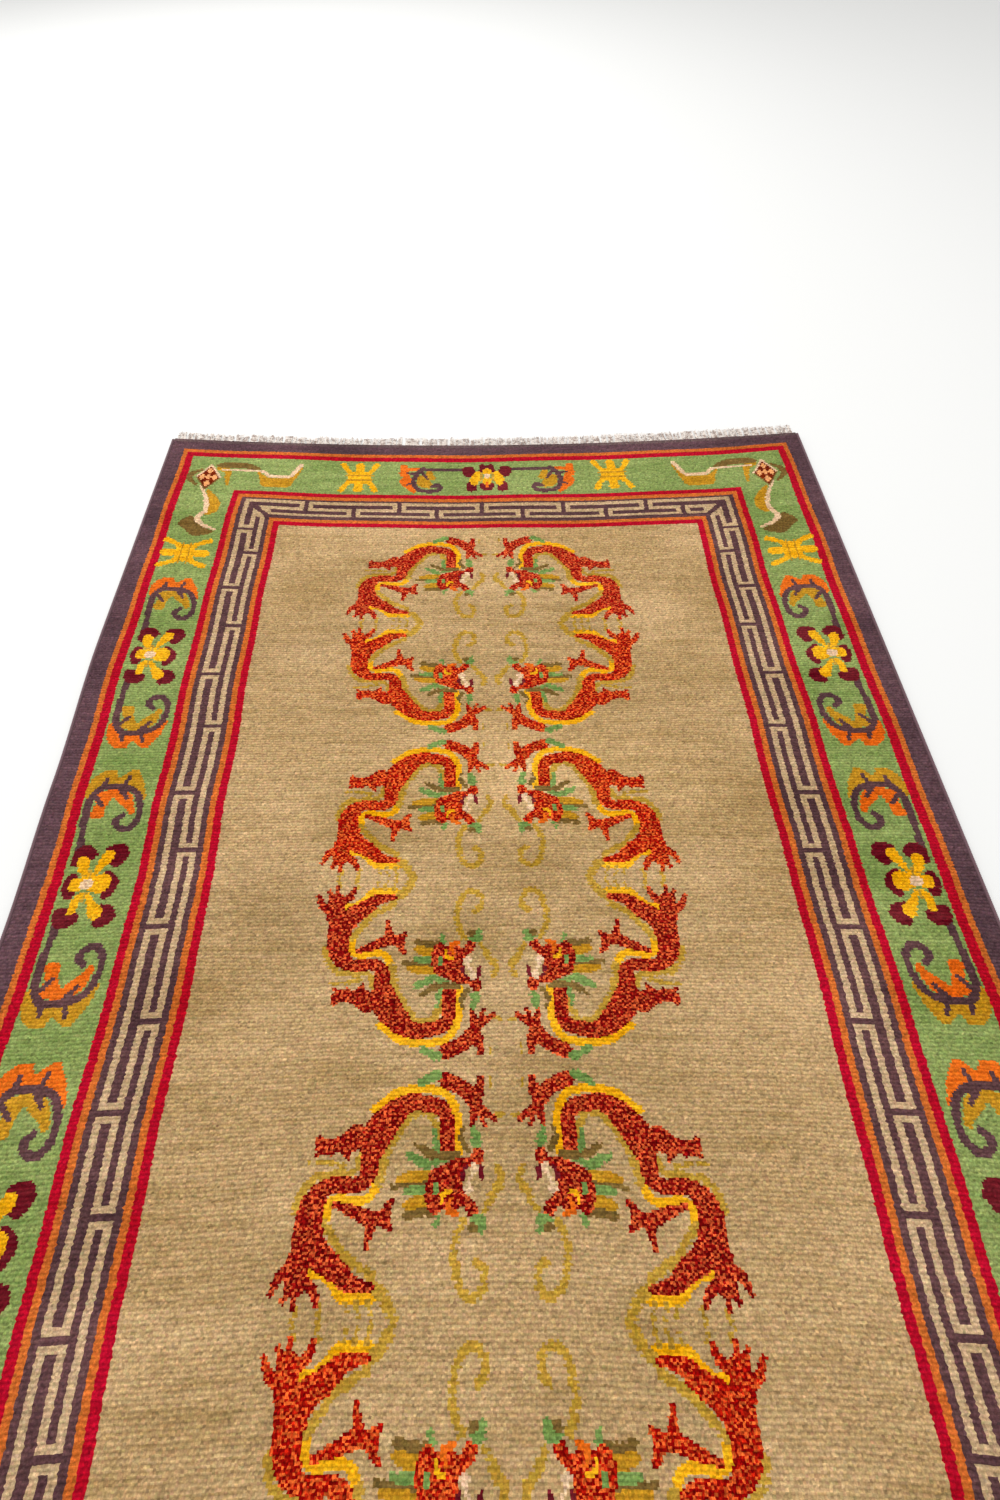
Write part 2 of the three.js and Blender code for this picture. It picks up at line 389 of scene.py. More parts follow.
LEGS = [
    ([(158, 154), (178, 147), (193, 146)], [25, 15, 15]),
    ([(192, 148), (198, 153)], 8),
    ([(185, 142), (184, 137)], [6, 4]),
    ([(196, 143), (198, 138)], [7, 5]),
    ([(172, 143), (165, 135)], [8, 5]),
    ([(66, 211), (48, 202), (36, 190), (32, 180)], [17, 17, 16, 13]),
    ([(31, 192), (28, 212)], [11, 8]),
    ([(28, 180), (13, 170)], [10, 6]),
    ([(29, 182), (25, 164)], [9, 5]),
    ([(36, 184), (38, 164)], [10, 7]),
    ([(174, 93), (154, 87), (139, 81), (128, 80)], [6, 12, 14, 12]),
    ([(132, 80), (124, 84)], [13, 13]),
    ([(127, 84), (118, 97)], [10, 6]),
    ([(126, 78), (118, 73)], [9, 6]),
    ([(137, 78), (140, 58)], [12, 6]),
    ([(199, 62), (204, 43), (204, 28)], [26, 22, 18]),
    ([(208, 44), (220, 36), (227, 23)], [12, 10, 6]),
    ([(210, 31), (214, 16)], [9, 5]),
    ([(203, 29), (204, 10)], [8, 5]),
    ([(197, 32), (188, 25), (182, 14)], [10, 10, 6]),
]
dragon.lines(CURLS + OUTLINES)
for points, widths in LEGS:
    dragon.line("flame", points, widths)
dragon.line(
    "flame",
    [
        (65, 138), (64, 164), (69, 181), (88, 187), (108, 186), (126, 172), (139, 154), (143, 136),
        (145, 118), (156, 110), (174, 111), (190, 105), (197, 90), (197, 69), (188, 54), (170, 42),
        (152, 29), (131, 26),
    ],
    [15, 15, 16, 17, 20, 29, 31, 21, 17, 15, 15, 18, 26, 28, 26, 21, 15, 6],
)

# %% The head and its mane
MANE = [
    ("leaf green", [(76, 216), (93, 208)], [12, 9]),
    ("leaf green", [(77, 140), (78, 160)], [9, 6]),
    ("leaf green", [(84, 127), (92, 131), (104, 137)], [10, 11, 7]),
    ("leaf green", [(68, 134), (78, 130)], 9),
    ("olive", [(80, 137), (88, 142), (96, 147)], [9, 9, 6]),
    ("gold", [(83, 118), (98, 117), (112, 115)], [11, 12, 7]),
    ("olive", [(84, 110), (100, 109), (118, 109)], [7, 6, 7]),
    ("leaf green", [(86, 104), (96, 105), (103, 104)], [9, 10, 8]),
    ("gold", [(82, 95), (96, 94), (103, 92)], [10, 12, 8]),
    ("olive", [(74, 85), (90, 85), (104, 83)], [8, 9, 7]),
    ("leaf green", [(72, 82), (74, 76)], [8, 6]),
    ("leaf green", [(34, 148), (36, 159)], [12, 9]),
    ("olive", [(44, 142), (50, 152), (48, 162)], [8, 6, 4]),
    ("olive", [(55, 136), (70, 136)], 9),
]
dragon.lines(MANE)
dragon.patch("flame", [
    (85, 106), (81, 121), (64, 130), (48, 134), (42, 133), (36, 142), (28, 141), (26, 131), (33, 127),
    (46, 122), (49, 108), (42, 99), (35, 93), (32, 81), (40, 80), (48, 90), (58, 83), (66, 88), (76, 84),
    (84, 92),
])
dragon.lines([
    ("maroon", [(30, 124), (29, 114)], [5, 4]),
    ("maroon", [(43, 127), (48, 120), (48, 112)], [3, 4, 3]),
])
dragon.spot("cream", 37, 124, 8, 13)
dragon.spot("cream", 43, 106, 9, 10)
dragon.line("cream", [(39, 118), (42, 110)], 3)
dragon.spot("leaf green", 75, 106, 7, 11)
dragon.line("leaf green", [(38, 78), (31, 78), (28, 70)], [8, 12, 8])
dragon.spot("olive", 37, 72, 10, 9)
dragon.lines([
    ("leaf orange", [(60, 97), (61, 90)], 5),
    ("yellow", [(60, 103), (67, 101), (69, 93)], [4, 5, 4]),
    ("leaf orange", [(54, 84), (62, 86)], [5, 6]),
])
print("a dragon has", int((dragon.wool != BARE).sum()), "knots")

# %% Three medallions of four dragons
MEDALLIONS = (451, 0, -451)
DYE_LOTS = {  # for the far and the near pair of each medallion
    451: ("crimson", "flame"),
    0: ("flame", "ember"),
    -451: ("ember", "flame"),
}
for middle in MEDALLIONS:
    for near, lot in enumerate(DYE_LOTS[middle]):
        for left in (False, True):
            knot_in(dragon, 0, middle, mirror_x=left, mirror_y=bool(near), swap={"flame": lot})

# %% [markdown]
# ## The flower and its vine on the long sides
# Along each side stands a flower with a vine above and below it, which curls round and carries a
# crest of leaves. The weaver changed the leaf colours from one to the next. The chart is drawn for
# the left side, with its x towards the field, and turned over for the right.

# %% Flower, vine and leaves
side_flower = Chart(-35, 62, -172, 172)
VINE = [(-18, 50), (-22, 104), (-20, 128), (-8, 143), (16, 144), (38, 136), (48, 117), (49, 93), (38, 79),
        (26, 82), (21, 92), (28, 100)]
CREST = [(-28, 128), (-28, 152), (-16, 168), (0, 176), (10, 160), (22, 168), (32, 172), (43, 156),
         (50, 140), (53, 124), (38, 132), (18, 142), (-6, 141), (-18, 130)]
INNER_LEAVES = [
    [(-12, 134), (6, 140), (10, 130), (4, 116), (2, 100), (-8, 96), (-16, 102), (-12, 116)],
    [(6, 138), (24, 138), (36, 128), (42, 108), (38, 100), (28, 112), (14, 124)],
]
TWIGS = [
    [(-8, 141), (-6, 158)],
    [(20, 143), (24, 160)],
    [(-17, 132), (-2, 116)],
    [(16, 142), (29, 126)],
]
for flip in (1, -1):
    side_flower.patch("leaf orange", [(x, y * flip) for x, y in CREST])
    for leaf in INNER_LEAVES:
        side_flower.patch("gold", [(x, y * flip) for x, y in leaf])
    side_flower.line("plum", [(x, y * flip) for x, y in VINE], 9.5)
    for twig in TWIGS:
        side_flower.line("plum", [(x, y * flip) for x, y in twig], [8, 5])

LOBES = [  # maroon, behind each petal
    ([(-16, 36), (-11, 45), (-2, 44)], [19, 25, 18]),
    ([(24, 48), (34, 44), (34, 34)], [16, 26, 20]),
    ([(-17, 12), (-18, 0), (-16, -11)], [13, 18, 14]),
    ([(26, 14), (33, 2), (30, -12)], [12, 20, 14]),
    ([(-18, -38), (-11, -43), (-3, -42)], [20, 25, 18]),
    ([(28, -32), (38, -40), (32, -47)], [14, 24, 18]),
]
PETALS = [
    ([(0, 12), (-6, 24), (-9, 34)], [7, 14, 16]),
    ([(8, 14), (14, 26), (22, 40)], [5, 10, 17]),
    ([(-2, 2), (-10, 2)], [14, 19]),
    ([(10, 2), (20, 3)], [18, 27]),
    ([(0, -10), (-5, -22), (-6, -32)], [5, 12, 12]),
    ([(8, -12), (16, -26), (24, -36)], [6, 11, 19]),
]
for points, widths in LOBES:
    side_flower.line("maroon", points, widths)
for points, widths in PETALS:
    side_flower.line("yellow", points, widths)
side_flower.lines([
    ("old gold", [(5, 10), (3, 20)], 4),
    ("old gold", [(5, -10), (3, -20)], 4),
    ("old gold", [(-2, 14), (-8, 14)], 3),
    ("cream", [(0, 2), (6, 2)], 12),
])

SIDE_FLOWERS = [  # along the rug, out from its middle line, and the wools that change places
    (380, 522, {}),
    (0, 527, {"leaf orange": "gold", "gold": "leaf orange"}),
    (-380, 524, {}),
]
for along, out, swap in SIDE_FLOWERS:
    knot_in(side_flower, -out, along, swap=swap)
    knot_in(side_flower, out, along, mirror_x=True, swap=swap)

# %% [markdown]
# ## The flower on the ends
# The flower in the middle of each end border is seen from its side, with a vine to the left and the
# right that turns back on itself.

# %% End flower
end_flower = Chart(-170, 1, -44, 46)
END_VINE = [(-40, 29), (-110, 29), (-121, 29), (-130, 16), (-135, -4), (-131, -20), (-119, -32), (-94, -33),
            (-85, -24), (-90, -15), (-99, -20)]
end_flower.lines([
    ("leaf orange", [(-154, 36), (-154, 16)], [15, 17]),
    ("leaf orange", [(-146, 28), (-128, 30)], [9, 12]),
    ("leaf orange", [(-147, 8), (-150, -6), (-143, -19), (-133, -34)], [12, 20, 16, 9]),
    ("gold", [(-108, 22), (-102, 4)], [12, 14]),
    ("gold", [(-122, 6), (-116, -8), (-106, -18)], [12, 25, 15]),
    ("plum", END_VINE, 9.5),
    ("plum", [(-132, 14), (-148, 19)], [8, 5]),
    ("plum", [(-134, -8), (-146, -15)], [7, 4]),
    ("plum", [(-120, 20), (-110, 2)], [8, 5]),
])
end_flower.spot("plum", -118, 32, 12, 10)
end_flower.spot("maroon", 0, -18, 28, 27)
end_flower.lines([
    ("maroon", [(-34, 29), (-33, 19)], [23, 23]),
    ("maroon", [(-28, -14), (-28, -24)], [20, 20]),
    ("maroon", [(-7, 39), (-9, 27)], [13, 12]),
    ("yellow", [(-17, 19), (-22, 3), (-23, -10)], [11, 18, 13]),
    ("yellow", [(0, 24), (0, 11), (0, -6)], [16, 11, 16]),
    ("old gold", [(-10, 18), (-11, -2)], 4),
])
end_flower.spot("leaf orange", 0, -14, 8, 16)
end_flower.spot("cream", 0, 11, 9, 15)

END_FLOWER_Y = 826
for near in (False, True):
    for right in (False, True):
        knot_in(end_flower, 0, -END_FLOWER_Y if near else END_FLOWER_Y, mirror_x=right, mirror_y=near)

# %% [markdown]
# ## The yellow ornament
# Between the flowers and the corners stands a yellow ornament: a pillar with crossbars and four
# slanting arms. On the long sides it lies on its side, so the same strokes are drawn on a turned
# chart.


# %% Ornament, upright and turned
def ornament(turned):
    """A pillar on a broad middle, with four arms that end in knobs."""
    reach = (-46, 46, -38, 38) if turned else (-38, 38, -46, 46)
    chart = Chart(*reach, turned=turned)
    for side in (-1, 1):
        for end in (-1, 1):
            arm = [(side * 12, end * 8), (side * 23, end * 20), (side * 31, end * 37)]
            chart.line("yellow", arm, [12, 10, 12])
    chart.line("yellow", [(0, 33), (0, 16), (0, -16), (0, -33)], [19, 15, 15, 19])
    for height in (-12, 0, 12):
        chart.line("yellow", [(-18, height), (18, height)], 9)
    for height in (-6, 6):
        chart.line("gold", [(-24, height), (24, height)], 3.5)
    return chart


END_ORNAMENTS = [(-236, 832), (231, 836)]
SIDE_ORNAMENT = (514, 612)
upright = ornament(turned=False)
lying = ornament(turned=True)
for end in (-1, 1):
    for x, y in END_ORNAMENTS:
        knot_in(upright, x, end * y)
    for side in (-1, 1):
        knot_in(lying, side * SIDE_ORNAMENT[0], end * SIDE_ORNAMENT[1])

# %% [markdown]
# ## The corners
# Each corner of the green border holds a lattice diamond tied with a ribbon, one end of it along
# the side and the other along the end. It is drawn for the far left corner.

# %% Diamond and ribbon
corner_motif = Chart(-45, 180, -165, 50)
corner_motif.line("olive", [(-15, 22), (-32, 8), (-33, -8), (-18, -24)], [6, 12, 11, 6])
corner_motif.line("gold", [(14, 28), (32, 20), (35, 2), (38, -20)], [8, 14, 10, 6])
corner_motif.patch("olive", [(8, 34), (22, 45), (56, 46), (76, 42), (94, 26), (60, 28), (22, 29)])
corner_motif.patch("gold", [
    (90, 20), (95, -2), (101, -20), (126, -25), (150, -22), (158, -6), (166, 16), (172, 40), (150, 6),
    (112, 4),
])
corner_motif.line("cream", [(22, 25), (90, 22), (101, 20), (112, 9), (146, 8), (156, 20), (168, 44)],
                  [4, 6, 7, 8, 7, 8, 9])
corner_motif.patch("gold", [(4, -36), (20, -48), (36, -70), (37, -92), (24, -107), (16, -104), (18, -78)])
corner_motif.patch("olive", [
    (-2, -113), (-18, -118), (-26, -134), (-12, -146), (0, -160), (20, -161), (40, -150), (18, -138),
])
corner_motif.line("cream", [
    (-10, -24), (0, -42), (10, -66), (15, -92), (9, -106), (5, -118), (18, -134), (40, -144),
], [4, 6, 8, 9, 10, 10, 8, 5])
DIAMOND = (20, 32)  # half its width and half its height
LOZENGE = (6, 9.5)
RIM = 1.2  # the rim's outer edge, as a share of the diamond
LATTICE = [(0, 18), (0, -18), (-11, 0), (11, 0), (0, 0)]


def lozenge(x, y, half_width, half_height):
    """How far the corner's knots lie from x, y, where 1 is the edge of a lozenge."""
    return np.abs(corner_motif.x - x) / half_width + np.abs(corner_motif.y - y) / half_height


diamond = lozenge(0, 0, *DIAMOND)
corner_motif.wool[diamond < RIM] = WOOL_NUMBER["cream"]
corner_motif.wool[(diamond < RIM) & (corner_motif.y < 0)] = WOOL_NUMBER["olive"]
corner_motif.wool[diamond < 1] = WOOL_NUMBER["russet"]
for x, y in LATTICE:
    corner_motif.wool[lozenge(x, y, *LOZENGE) < 1] = WOOL_NUMBER["peach"]

CORNER = (516, 817)
for side, right in ((-1, False), (1, True)):
    for end, near in ((1, False), (-1, True)):
        knot_in(corner_motif, side * CORNER[0], end * CORNER[1], mirror_x=right, mirror_y=near)
print("the rug's chart is full:", bool((rug != BARE).all()))

# %% [markdown]
# ## Frayed lines
# The weaver softened the old gold lines round the dragons, and their manes: here and there a knot at
# their edge is beige again. A knot is at the edge if a knot beside it is beige, and chance picks some
# of those.

# %% Knots given back to the field
FRAYED = 0.2
SOFTENED = ("old gold", "olive", "leaf green")

random = np.random.default_rng(7)
field = rug == WOOL_NUMBER["beige"]
touching = sum(np.roll(field, step, axis) for step in (-1, 1) for axis in (0, 1)) > 0
soft_lines = np.isin(rug, [WOOL_NUMBER[name] for name in SOFTENED])
frayed = soft_lines & touching & (random.random(rug.shape) < FRAYED)
rug[frayed] = WOOL_NUMBER["beige"]
print(int(frayed.sum()), "knots are beige again")

# %% [markdown]
# ## Dyeing the knots
# Now each knot gets its own colour. A soft noise that is long along the rows and short across them
# gives the streaks that knotters call abrash. Flecked wool takes its shade by chance, and mostly
# not the shade of the knots beside it, which keeps the flecks small. Every knot is also a little
# lighter or darker than the next.

# %% Noise on the knot grid
def soft_noise(rows_apart, columns_apart):
    """Random values between about -1 and 1 that change smoothly over so many knots."""
    few = random.normal(0, 0.6, (ROWS // rows_apart + 2, COLUMNS // columns_apart + 2))

    def stretch(values, count, apart):
        place = np.arange(count) / apart
        before = place.astype(int)
        part = (place - before)[:, None]
        part = part * part * (3 - 2 * part)
        return values[before] * (1 - part) + values[before + 1] * part

    return stretch(stretch(few, ROWS, rows_apart).T, COLUMNS, columns_apart).T


# %% Lots of the beige wool
PALER = [  # millimetres from the rug's middle, the lot's reach, and how much paler it is
    {"x": 80, "y": 160, "width": 520, "height": 260, "paler": 0.24},
    {"x": 40, "y": 640, "width": 560, "height": 240, "paler": 0.16},
    {"x": -280, "y": -40, "width": 320, "height": 240, "paler": -0.13},
    {"x": -280, "y": 400, "width": 320, "height": 200, "paler": -0.1},
    {"x": 60, "y": 345, "width": 240, "height": 120, "paler": -0.14},
]
knot_x, knot_y = np.meshgrid(
    (np.arange(COLUMNS) + 0.5) * KNOT_WIDTH - HALF_PILE,
    (np.arange(ROWS) + 0.5) * KNOT_HEIGHT - HALF_LENGTH,
)
paler = np.ones((ROWS, COLUMNS))
for lot in PALER:
    away = np.hypot((knot_x - lot["x"]) / lot["width"], (knot_y - lot["y"]) / lot["height"])
    paler += lot["paler"] * np.clip(1 - 2 * away, 0, 1)
paler[rug != WOOL_NUMBER["beige"]] = 1
print(f"the beige wool's lots run from {paler.min():.2f} to {paler.max():.2f} of its shades")

# %% Streaks and flecks
STREAKS = [(0.5, 1, 5), (0.45, 3, 30), (0.8, 24, 40)]  # how strong, over how many rows and columns
USUAL_FLECK = 0.43  # between the darkest shade, 0, and the brightest, 1

streaks = sum(strong * soft_noise(rows, columns) for strong, rows, columns in STREAKS)
lots = np.clip(0.5 + 0.5 * streaks, 0, 1)
by_chance = random.random((ROWS, COLUMNS))
beside = sum(np.roll(by_chance, step, axis) for step in (-1, 1) for axis in (0, 1)) / 4
unlike = by_chance - 0.5 * beside - 0.25  # evenly spread about 0, and unlike the knots beside it
flecks = np.clip(USUAL_FLECK + 2 * (unlike + 0.05 * soft_noise(5, 5)), 0, 1)
print(f"the streaked wools lie {lots.min():.2f} to {lots.max():.2f} of the way through their shades")

# %% Each knot's colour
UNEVEN_DYE = 0.13  # how much lighter or darker one knot is than the next
UNEVEN_HUE = 0.035

knot_colour = np.zeros((ROWS, COLUMNS, 3))
for name, wool in WOOLS.items():
    here = rug == WOOL_NUMBER[name]
    share = (flecks if wool["mix"] == "flecked" else lots)[here]
    shades = np.array([linear(shade) for shade in wool["shades"]])
    places = np.linspace(0, 1, len(shades))
    knot_colour[here] = np.column_stack([np.interp(share, places, channel) for channel in shades.T])
knot_colour *= np.clip(1 + UNEVEN_DYE * random.normal(size=(ROWS, COLUMNS, 1)), 0.6, 1.45)
knot_colour *= 1 + UNEVEN_HUE * random.normal(size=knot_colour.shape)
knot_colour *= paler[:, :, None]
print("mean colour of the knots, linear:", knot_colour.mean((0, 1)).round(3).tolist())

# %% [markdown]
# ## Laying the knots' corners
# The pile is a grid of knots, so its mesh is a grid too, with a vertex at each knot's corner. The
# rows lean together in pairs, so every second line of vertices lies in a groove. The clipped pile
# rounds off at its edge. Small random shifts keep the grid from looking ruled, and a slow wobble
# makes the stripes as unsteady as a hand-held thread.

# %% Corners of the knots, in millimetres
SHIFT = 0.34
ROW_SHIFT = 0.45  # how far a whole row sits to one side of the next
WOBBLE = 1.6
CALM_EDGE = 25  # the breadth over which the shifts fade out towards the rug's edge

corner_x, corner_y = np.meshgrid(
    np.linspace(-HALF_PILE, HALF_PILE, COLUMNS + 1),
    np.linspace(-HALF_LENGTH, HALF_LENGTH, ROWS + 1),
)
from_edge = np.minimum(HALF_PILE - np.abs(corner_x), HALF_LENGTH - np.abs(corner_y))
loose = np.clip(from_edge / CALM_EDGE, 0, 1)
wobble_x = np.sin(corner_y / 31 + 0.8 * np.sin(corner_x / 90)) + np.sin(corner_y / 74 + corner_x / 120)
wobble_y = np.sin(corner_x / 37 + 0.9 * np.sin(corner_y / 80)) + np.sin(corner_x / 83 - corner_y / 140)
shift_x, shift_y = random.normal(0, SHIFT, (2, ROWS + 1, COLUMNS + 1))
shift_x += random.normal(0, ROW_SHIFT, (ROWS + 1, 1))
drawn_x = corner_x + loose * (WOBBLE * wobble_x / 2 + shift_x)
drawn_y = corner_y + loose * (WOBBLE * wobble_y / 2 + 0.6 * shift_y)
lying_x, lying_y = lie(drawn_x, drawn_y)
print(f"the shifts move a corner by up to {np.abs(drawn_x - corner_x).max():.1f} mm across the rug")

# %% Their heights
CLIPPED = 0.3  # how far the usual tip lies below the pile's highest one
GROOVE = 0.9
SHOULDER = 3.0
SWELL = 0.25
ROUGH = 0.2

grooved = np.arange(ROWS + 1)[:, None] % 2 == 0
groove = np.where(grooved & (from_edge > 1), GROOVE, 0)
rounding = SHOULDER * np.clip(1 - from_edge / SHOULDER, 0, 1) ** 2
swell = SWELL * np.sin(corner_x / 130 + 1) * np.sin(corner_y / 170)
height = PILE_TOP - CLIPPED - groove - rounding + swell + random.normal(0, ROUGH, corner_x.shape)
print(f"the pile stands {height.min():.1f} to {height.max():.1f} mm high")

# %% The way each corner faces
# It is worked out here for the whole grid, so that strips of it can meet without a line between.
corners = np.dstack([lying_x, lying_y, height])
facing = np.cross(np.gradient(corners, axis=1), np.gradient(corners, axis=0))
facing /= np.linalg.norm(facing, axis=2, keepdims=True)
print("the corners face up by at least", facing[:, :, 2].min().round(2))

# %% Light and shade between the tufts
# Wool in a groove is seen through the tips around it, so each corner also gets a tone: painted shade
# at the grooves and painted light at the ridges, times a random tone. The two thin strands of a
# flecked knot spread apart, which makes that random tone livelier.
GROOVE_SHADE = 0.76
RIDGE_LIGHT = 1.09
EVEN_SPREAD = 0.1
LIVELY_SPREAD = 0.22

flecked = [WOOL_NUMBER[name] for name, wool in WOOLS.items() if wool["mix"] == "flecked"]
lively = np.pad(np.isin(rug, flecked), ((0, 1), (0, 1)))
spread = np.where(lively, LIVELY_SPREAD, EVEN_SPREAD) * random.normal(size=corner_x.shape)
corner_tone_and_shade = np.clip(np.where(grooved, GROOVE_SHADE, RIDGE_LIGHT) * (1 + spread), 0.4, 1.5)
print("mean tone of the corners:", corner_tone_and_shade.mean().round(2))

# %% [markdown]
# ## A function for nodes
# Every material here is built from nodes. One small function adds a node, sets its values and links
# its inputs, so that a material reads from top to bottom like a recipe. A link is given as a pair,
# the other node and the name of its output. The inputs of a Math node have no names of their own, so
# they are given in a row.


# %% Adding a node
def add_node(tree, kind, settings=(), row=(), **named):
    """A node of that kind, with its settings, and with inputs as values or (node, output) links."""
    node = tree.nodes.new(kind)
    for name, value in dict(settings).items():
        setattr(node, name, value)
    inputs = dict(enumerate(row)) | {name.replace("_", " "): value for name, value in named.items()}
    for key, value in inputs.items():
        if isinstance(value, tuple) and hasattr(value[0], "outputs"):
            tree.links.new(value[0].outputs[value[1]], node.inputs[key])
        else:
            node.inputs[key].default_value = value
    return node


def new_material(name):
    """An empty material, and its node tree."""
    material = bpy.data.materials.new(name)
    material.use_nodes = True
    material.node_tree.nodes.clear()
    return material, material.node_tree


def finish_material(tree, shader):
    """Links the finished shader to the material's output."""
    add_node(tree, "ShaderNodeOutputMaterial", Surface=(shader, "BSDF"))


# %% [markdown]
# ## Clipped wool and silk pile
# Clipped wool is matt: light sinks in between the tufts, and hardly any comes back as gloss or as a
# bright edge, so its specular level and its sheen are close to nothing. Its colour comes from the
# knots. A tuft's cut end is a blunt dome about as wide as a knot, and small gaps lie between its
# fibres, so two noises are mixed into the relief, and into the colour as painted light and shade:
# lighter at a tuft's middle, darker at its edge and darker in the gaps between fibres. Real fibres
# are 0.03 mm thick, too fine to show, so they are drawn 0.55 mm apart. Flecked wool is plied from
# dark and bright strands, 1.5 mm thick where they spread, so a third noise, drawn out along them,
# mottles it.

# %% Pile material
TUFT = 2.4
FIBRE = 0.55
STRAND = 1.5

pile_wool, tree = new_material("clipped wool and silk pile")
dyed = add_node(tree, "ShaderNodeAttribute", {"attribute_name": "wool"})
place = add_node(tree, "ShaderNodeTexCoord")
tufts = add_node(tree, "ShaderNodeTexVoronoi", Vector=(place, "Object"), Scale=1000 / TUFT, Randomness=0.8)
fibres = add_node(tree, "ShaderNodeTexNoise", Vector=(place, "Object"), Scale=1000 / FIBRE, Detail=2.0)
# Painted shade: darker where the fibres part and towards a tuft's edge, lighter at its middle; the same
# factor is the relief's height.
gaps = add_node(tree, "ShaderNodeMapRange", Value=(fibres, "Fac"), From_Min=0.3, From_Max=0.6,
                To_Min=0.72, To_Max=1.1)
between = add_node(tree, "ShaderNodeMapRange", Value=(tufts, "Distance"), From_Min=0.1, From_Max=0.75,
                   To_Min=1.1, To_Max=0.74)
depth = add_node(tree, "ShaderNodeMath", {"operation": "MULTIPLY"}, [(gaps, "Result"), (between, "Result")])
flecked_here = add_node(tree, "ShaderNodeAttribute", {"attribute_name": "flecked"})
slanting = add_node(tree, "ShaderNodeMapping", Vector=(place, "Object"), Rotation=(0, 0, 0.7),
                    Scale=(1, 0.5, 1))
plied = add_node(tree, "ShaderNodeTexNoise", Vector=(slanting, "Vector"), Scale=1000 / STRAND, Detail=1.0)
strands = add_node(tree, "ShaderNodeMapRange", Value=(plied, "Fac"), From_Min=0.38, From_Max=0.62,
                   To_Min=0.65, To_Max=1.35)
mottle = add_node(tree, "ShaderNodeMix", {"data_type": "FLOAT"}, Factor=(flecked_here, "Fac"), A=1.0,
                  B=(strands, "Result"))
toned = add_node(tree, "ShaderNodeVectorMath", {"operation": "SCALE"}, Vector=(dyed, "Color"),
                 Scale=(mottle, "Result"))
colour = add_node(tree, "ShaderNodeVectorMath", {"operation": "SCALE"}, Vector=(toned, "Vector"),
                  Scale=(depth, "Value"))
relief = add_node(tree, "ShaderNodeBump", Height=(depth, "Value"), Strength=0.6, Distance=0.0006)
shader = add_node(
    tree, "ShaderNodeBsdfPrincipled", Base_Color=(colour, "Vector"), Normal=(relief, "Normal"),
    Roughness=0.9, IOR=1.55, Specular_IOR_Level=0.02, Sheen_Weight=0.01, Sheen_Roughness=0.5,
)
finish_material(tree, shader)

# %% [markdown]
# ## The pile
# The pile could be one mesh, but its knots come to more triangles than a piece should have, so it is
# made in four long strips that meet between two warps. Each strip starts as a plane grid, one
# square for each knot. Its border is extruded down for the cut side of the pile and closed below.
# Then each vertex is moved to the knot corner that it stands for.


# %% Reading and writing a mesh's points
def points_of(piece):
    """A mesh's points as an array of rows."""
    points = np.empty(len(piece.data.vertices) * 3)
    piece.data.vertices.foreach_get("co", points)
    return points.reshape(-1, 3)


def move_points(piece, x, y, z):
    """Moves a mesh's points to places given in millimetres."""
    piece.data.vertices.foreach_set("co", (np.column_stack([x, y, z]) * MM).ravel())
    piece.data.update()


def finish_piece(piece, name, material, slot, *nodes):
    """Names a piece, gives it its material, hangs it on the root body, and hides the solids that it stands
    for.
    """
    piece.name = name
    piece.data.name = name
    piece.data.materials.clear()
    piece.data.materials.append(material)
    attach(piece, "root")
    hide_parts(*nodes)


def triangles_of(piece):
    """How many triangles a piece has."""
    return sum(len(face.vertices) - 2 for face in piece.data.polygons)


# %% A closed block of knots
def face_outwards():
    """Turns all faces of the piece in edit mode outwards, and leaves edit mode."""
    bpy.ops.mesh.select_all(action="SELECT")
    bpy.ops.mesh.normals_make_consistent(inside=False)
    bpy.ops.object.mode_set(mode="OBJECT")


def knot_block(columns, rows):
    """A grid of knots, one unit across, whose border runs down to a closed base at z = -1."""
    bpy.ops.object.select_all(action="DESELECT")
    bpy.ops.mesh.primitive_grid_add(x_subdivisions=columns, y_subdivisions=rows, size=1)
    bpy.ops.object.mode_set(mode="EDIT")
    bpy.ops.mesh.select_all(action="DESELECT")
    bpy.ops.mesh.select_non_manifold()
    bpy.ops.mesh.extrude_region_move(TRANSFORM_OT_translate={"value": (0, 0, -1)})
    bpy.ops.mesh.edge_face_add()
    face_outwards()
    return bpy.context.object


# %% The corners of a mesh's faces
def corners_of(piece):
    """The point and the face of each corner of a mesh's faces, as two rows of numbers."""
    counts = np.empty(len(piece.data.polygons), int)
    piece.data.polygons.foreach_get("loop_total", counts)
    at_corner = np.empty(len(piece.data.loops), int)
    piece.data.loops.foreach_get("vertex_index", at_corner)
    return at_corner, np.repeat(np.arange(len(counts)), counts)


def paint(piece, face_colours, point_tones):
    """Stores each face's linear colour at all its corners, times the tone of the point there."""
    at_corner, of_face = corners_of(piece)
    colours = np.ones((len(at_corner), 4))
    colours[:, :3] = face_colours[of_face] * point_tones[at_corner][:, None]
    layer = piece.data.color_attributes.new("wool", "FLOAT_COLOR", "CORNER")
    layer.data.foreach_set("color", colours.ravel())


# %% A flat map for a piece
MAP_MARGIN = 0.02  # of the map, kept for the piece's cut sides
OUTER_MARGIN = 0.004
AT_EDGE = 0.0001


def spread_map(piece, across, along, deep):
    """Lays a piece's map out flat: both places run from 0 to 1, and its sides fold outwards."""
    outwards = np.where(deep, OUTER_MARGIN, MAP_MARGIN)
    places = np.column_stack([
        np.clip(place * (1 - 2 * MAP_MARGIN) + MAP_MARGIN, outwards, 1 - outwards)
        for place in (across, along)
    ])
    at_corner, _ = corners_of(piece)
    layer = piece.data.uv_layers[0] if piece.data.uv_layers else piece.data.uv_layers.new()
    layer.name = "OFBake"
    layer.data.foreach_set("uv", places[at_corner].ravel())


